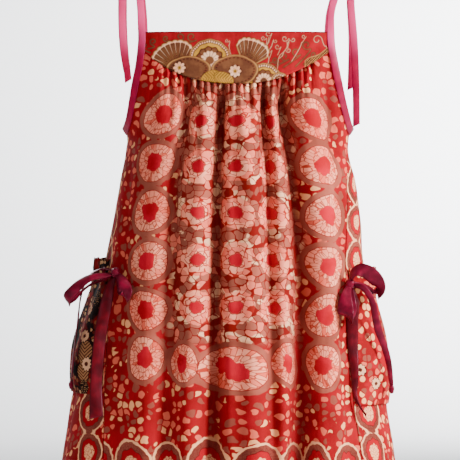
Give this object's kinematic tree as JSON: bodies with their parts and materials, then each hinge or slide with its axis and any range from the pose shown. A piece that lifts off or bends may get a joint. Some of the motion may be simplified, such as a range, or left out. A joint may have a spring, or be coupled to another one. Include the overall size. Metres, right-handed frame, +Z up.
{
  "type": "sarafan dress",
  "caption": "Girl's sleeveless sundress of printed batik cotton with curved yokes, gathered A-line panels, ribbon straps tied at the shoulders and side pockets with bows",
  "frame": {"origin": "midway between the two shoulder knots, where the wearer's shoulders carry the dress", "axes": "+Z up, the front of the dress faces -Y, +X is the wearer's left, on the right in the picture"},
  "size_m": [0.3597, 0.2478, 0.6066],
  "materials": {
    "batik": "matt printed cotton",
    "yoke_batik": "matt printed cotton",
    "dark_batik": "matt printed cotton",
    "satin": "satin"
  },
  "bodies": {
    "root": {"front_yoke": "yoke_batik", "back_yoke": "yoke_batik", "front_panel": "batik", "back_panel": "batik", "pocket_left": "dark_batik", "pocket_right": "batik", "armhole_ribbon_front_left": "satin", "armhole_ribbon_front_right": "satin", "armhole_ribbon_back_left": "satin", "armhole_ribbon_back_right": "satin", "shoulder_knot_left": "satin", "shoulder_knot_right": "satin", "tie_end_front_left": "satin", "tie_end_back_left": "satin", "tie_end_front_right": "satin", "tie_end_back_right": "satin", "bow_knot_left": "satin", "bow_knot_right": "satin", "bow_left_loop_outer": "satin", "bow_left_loop_inner": "satin", "bow_left_end_front": "satin", "bow_left_end_side": "satin", "bow_right_loop_outer": "satin", "bow_right_loop_inner": "satin", "bow_right_end_front": "satin", "bow_right_end_side": "satin", "end_knot_left": "satin", "end_knot_right": "satin"}
  },
  "joints": []
}
